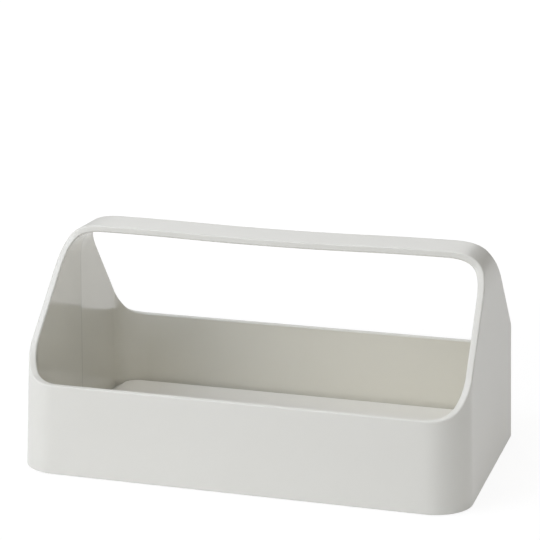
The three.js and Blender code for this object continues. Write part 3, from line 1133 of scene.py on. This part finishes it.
@dataclass
class SnapBeads:
    """Wedges inside the shell's skirt, which the floor snaps over."""

    side_y: float  # the skirt's inside along a long wall
    end_x: float  # and across an end
    top: float
    finish: MouldedPlastic
    reach: float = 0.9 * MM
    depth: float = 3 * MM
    length: float = 30 * MM
    spacing: float = 160 * MM  # between the two on a long wall
    root: float = 1 * MM  # how far they reach into the skirt

    def build(self) -> bpy.types.Object:
        """Builds the beads."""
        tree = GeometryTree("snap_beads")
        reach = tree.size("Reach", self.reach)
        depth = tree.size("Depth", self.depth)
        length = tree.size("Length", self.length)
        root = tree.size("Root", self.root)
        side = tree.size("Side", self.side_y)
        end = tree.size("End", self.end_x)
        along = tree.half(tree.size("Spacing", self.spacing))
        level = tree.size("Top level", self.top)
        foot = tree.minus(depth)
        section = [tree.vector(root, 0.0), tree.vector(0.0, 0.0),
                   tree.vector(tree.minus(reach), tree.minus(tree.half(reach))),
                   tree.vector(0.0, foot), tree.vector(root, foot)]
        closed = tree.add("GeometryNodeSetSplineCyclic",
                          {"Geometry": tree.line(section), "Cyclic": True}).outputs[0]
        face = tree.add("GeometryNodeFillCurve", {"Curve": closed}, mode="NGONS").outputs[0]
        centred = tree.moved(face, tree.vector(z=tree.minus(tree.half(length))))
        inputs = {"Mesh": centred, "Offset": tree.vector(z=length), "Individual": False}
        sides = tree.add("GeometryNodeExtrudeMesh", inputs).outputs[0]
        prism = tree.welded(tree.joined(centred, sides))
        lying = {"Geometry": prism, "Rotation": (math.pi / 2, 0, math.pi / 2)}
        bead = tree.add("GeometryNodeTransform", lying).outputs[0]

        back = tree.minus(along)
        places = [tree.vector(along, side), tree.vector(back, side),
                  tree.vector(along, tree.minus(side)), tree.vector(back, tree.minus(side)),
                  tree.vector(end), tree.vector(tree.minus(end))]
        turns = [0.0, 0.0, math.pi, math.pi, -math.pi / 2, math.pi / 2]
        copies = tree.copies(tree.points(places), bead, tree.choice("FLOAT", turns))
        mesh = tree.mesh(tree.moved(copies, tree.vector(z=level)), self.finish.material())
        return new_piece("snap_beads", mesh, Body.BOX)


def way_to(azimuth: float, elevation: float) -> Vector:
    """The way from the object to a lamp or camera, at angles to the right of its front and upwards."""
    level = math.cos(elevation)
    return Vector((math.sin(azimuth) * level, -math.cos(azimuth) * level, math.sin(elevation)))


@dataclass(frozen=True)
class SoftBox:
    """A soft lamp that is aimed at the object."""

    name: str
    azimuth: float  # degrees from the front, to the right
    elevation: float  # degrees
    power: float
    distance: float = 2.0
    width: float = 1.1
    height: float = 1.1
    colour: Colour = (1, 1, 1)

    def build(self, aim: Vector) -> None:
        """Hangs the lamp and turns it to the aim."""
        back = way_to(math.radians(self.azimuth), math.radians(self.elevation))
        data = bpy.data.lights.new(self.name, "AREA")
        data.shape = "RECTANGLE"
        data.size = self.width
        data.size_y = self.height
        data.energy = self.power
        data.color = self.colour
        lamp = bpy.data.objects.new(self.name, data)
        lamp.location = aim + back * self.distance
        lamp.rotation_euler = back.to_track_quat("Z", "Y").to_euler()
        bpy.context.scene.collection.objects.link(lamp)


@dataclass
class Studio:
    """The floor, the room round it, the lamps and the camera."""

    lamps: tuple[SoftBox, ...]
    floor_size: float = 30.0
    floor_colour: Colour = (0.95, 0.95, 0.95)
    white: float = 1.06  # how bright the white floor looks
    white_share: float = 0.85  # how far the floor by the object looks plain white, not lit
    white_from: float = 0.3  # where that share begins to grow
    white_to: float = 0.8  # and where it is full
    room_light: float = 0.02  # light from all round
    room_look: float = 0.15  # how bright the room beyond the floor looks
    azimuth: float = math.radians(16.013)
    elevation: float = math.radians(13.763)
    roll: float = math.radians(0.55)
    distance: float = 1438.2 * MM
    focal_pixels: float = 2019.8
    target: tuple[float, float, float] = (-4.96 * MM, 0.0, 133.07 * MM)

    def build(self) -> None:
        """Sets up everything round the object."""
        self.floor()
        self.surroundings()
        for lamp in self.lamps:
            lamp.build(Vector((0, 0, CAD_BOX[1][2] / 2)))
        self.camera()
        bpy.context.scene.view_settings.view_transform = "Standard"

    def floor(self) -> None:
        """A plain pale floor that looks white to the camera and keeps the object's shadow."""
        half = self.floor_size / 2
        mesh = bpy.data.meshes.new("floor")
        corners = [(-half, -half, 0), (half, -half, 0), (half, half, 0), (-half, half, 0)]
        mesh.from_pydata(corners, [], [(0, 1, 2, 3)])
        floor = bpy.data.objects.new("floor", mesh)
        bpy.context.scene.collection.objects.link(floor)
        material, maker, shader = new_material("floor_paper")
        shader.inputs["Base Color"].default_value = (*self.floor_colour, 1)
        shader.inputs["Roughness"].default_value = 1.0
        shader.inputs["Specular IOR Level"].default_value = 0.0
        place = maker.add("ShaderNodeTexCoord").outputs["Object"]
        away = maker.add("ShaderNodeVectorMath", {0: place}, operation="LENGTH").outputs["Value"]
        limits = {"Value": away, "From Min": self.white_from, "From Max": self.white_to,
                  "To Min": self.white_share, "To Max": 1.0}
        share = maker.add("ShaderNodeMapRange", limits, interpolation_type="SMOOTHSTEP").outputs[0]
        white = maker.add("ShaderNodeEmission", {"Strength": self.white}).outputs[0]
        plain = maker.math("MULTIPLY", seen_directly(maker), share)
        mixed = {"Fac": plain, 1: shader.outputs[0], 2: white}
        floor_look = maker.add("ShaderNodeMixShader", mixed).outputs[0]
        output = maker.tree.nodes["Material Output"]
        maker.tree.links.new(floor_look, output.inputs["Surface"])
        mesh.materials.append(material)

    def surroundings(self) -> None:
        """The room: faint light from all round, and a grey look beyond the floor."""
        world = bpy.data.worlds.new("surroundings")
        bpy.context.scene.world = world
        world.use_nodes = True
        maker = NodeMaker(world.node_tree)
        background = world.node_tree.nodes["Background"]
        background.inputs["Color"].default_value = (1, 1, 1, 1)
        strengths = {"Factor": seen_directly(maker), "A": self.room_light, "B": self.room_look}
        mix = maker.add("ShaderNodeMix", strengths)
        maker.tree.links.new(mix.outputs["Result"], background.inputs["Strength"])

    def camera(self) -> None:
        """A camera where the photograph was taken from."""
        back = way_to(self.azimuth, self.elevation)
        right = Vector((math.cos(self.azimuth), math.sin(self.azimuth), 0))
        up = back.cross(right)
        turned_right = right * math.cos(self.roll) + up * math.sin(self.roll)
        turned_up = up * math.cos(self.roll) - right * math.sin(self.roll)
        data = bpy.data.cameras.new("camera")
        data.sensor_width = SENSOR_WIDTH
        data.lens = self.focal_pixels / PHOTO_WIDTH * SENSOR_WIDTH
        camera = bpy.data.objects.new("camera", data)
        axes = Matrix((turned_right, turned_up, back)).transposed()
        place = Vector(self.target) + back * self.distance
        camera.matrix_world = Matrix.Translation(place) @ axes.to_4x4()
        bpy.context.scene.collection.objects.link(camera)
        bpy.context.scene.camera = camera


def seen_directly(maker: NodeMaker) -> Socket:
    """1 for rays from the camera and for reflected or refracted ones, 0 for light on surfaces."""
    path = maker.add("ShaderNodeLightPath").outputs
    mirrored = maker.math("MAXIMUM", path["Is Glossy Ray"], path["Is Transmission Ray"])
    return maker.math("MAXIMUM", path["Is Camera Ray"], mirrored)


OUTSIDE_PLASTIC = MouldedPlastic(
    name="shell_outside", colour=(0.762, 0.755, 0.715), tint=(0.748, 0.74, 0.697), cloud=60 * MM,
    roughness=0.36, refraction=1.44, grain=0.5 * MM, grain_depth=0.006 * MM,
    ripple=25 * MM, ripple_depth=0.01 * MM,
)
# The inside's colour and tint are warmer and yellower than the outside's: painted shade, standing in for
# the warm tone light picks up bouncing about inside the box. Its low roughness is the mould's real
# polish.
INSIDE_PLASTIC = MouldedPlastic(
    name="shell_inside", colour=(0.768, 0.752, 0.682), tint=(0.754, 0.737, 0.664), cloud=60 * MM,
    roughness=0.08, refraction=1.7, grain=0.5 * MM, grain_depth=0.001 * MM,
    ripple=12 * MM, ripple_depth=0.01 * MM, painted_parting_width=1.4 * MM,
)
BASE_PLASTIC = MouldedPlastic(
    name="base_plastic", colour=(0.72, 0.72, 0.695), tint=(0.7, 0.698, 0.67), cloud=50 * MM,
    roughness=0.45, refraction=1.47, grain=0.7 * MM, grain_depth=0.02 * MM,
    ripple=25 * MM, ripple_depth=0.01 * MM,
)
MAT_RUBBER = MatteRubber(
    name="mat_rubber", colour=(0.805, 0.8, 0.77), tint=(0.785, 0.78, 0.75),
    roughness=0.82, grain=0.6 * MM, grain_depth=0.03 * MM, cloud=45 * MM,
)
FOOT_RUBBER = MatteRubber(
    name="foot_rubber", colour=(0.36, 0.36, 0.345), tint=(0.33, 0.33, 0.32),
    roughness=0.85, grain=0.5 * MM, grain_depth=0.03 * MM, cloud=10 * MM,
)
COOL = (0.8, 0.87, 1.0)
WARM = (1.0, 0.975, 0.93)
LAMPS = (
    SoftBox("key", azimuth=-45, elevation=50, power=15, width=1.2, colour=COOL),
    SoftBox("key_low", azimuth=-45, elevation=20, power=13.5, width=1.2, colour=WARM),
    SoftBox("fill", azimuth=20, elevation=22, power=5.3),
    SoftBox("top_front", azimuth=0, elevation=62, power=1.6, colour=WARM),
    SoftBox("top", azimuth=0, elevation=90, power=12.8, colour=WARM),
    SoftBox("side", azimuth=90, elevation=5, power=2.9, distance=1.6, width=1.4, height=0.3, colour=WARM),
    SoftBox("back", azimuth=195, elevation=30, power=9, distance=2.2, width=1.4),
)
FOOT_NODES = ("foot_back_right", "foot_back_left", "foot_front_right", "foot_front_left")


def main() -> None:
    """Builds the box, piece by piece, and the studio round it."""
    logging.basicConfig(level=logging.INFO, format="%(message)s")
    shell_low, shell_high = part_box("shell")
    size = shell_high - shell_low
    shell = Shell(size.x, size.y, size.z, shell_low.z, OUTSIDE_PLASTIC, INSIDE_PLASTIC)
    shell.build()
    foot_low, foot_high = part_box(FOOT_NODES[0])
    foot_place = (foot_low + foot_high) / 2
    base = BasePlate(*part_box("base_plate"), foot_place, foot_high.x - foot_place.x, BASE_PLASTIC)
    base.build()
    under_plate = base.high.z - base.plate - base.socket_gap
    SnapBeads(shell.recess.side_y, shell.recess.end_x, under_plate, OUTSIDE_PLASTIC).build()
    FloorMat(*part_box("floor_mat"), MAT_RUBBER).build()
    Feet(foot_low, foot_high, FOOT_NODES, FOOT_RUBBER).build()
    Studio(LAMPS).build()


if __name__ == "__main__":
    main()
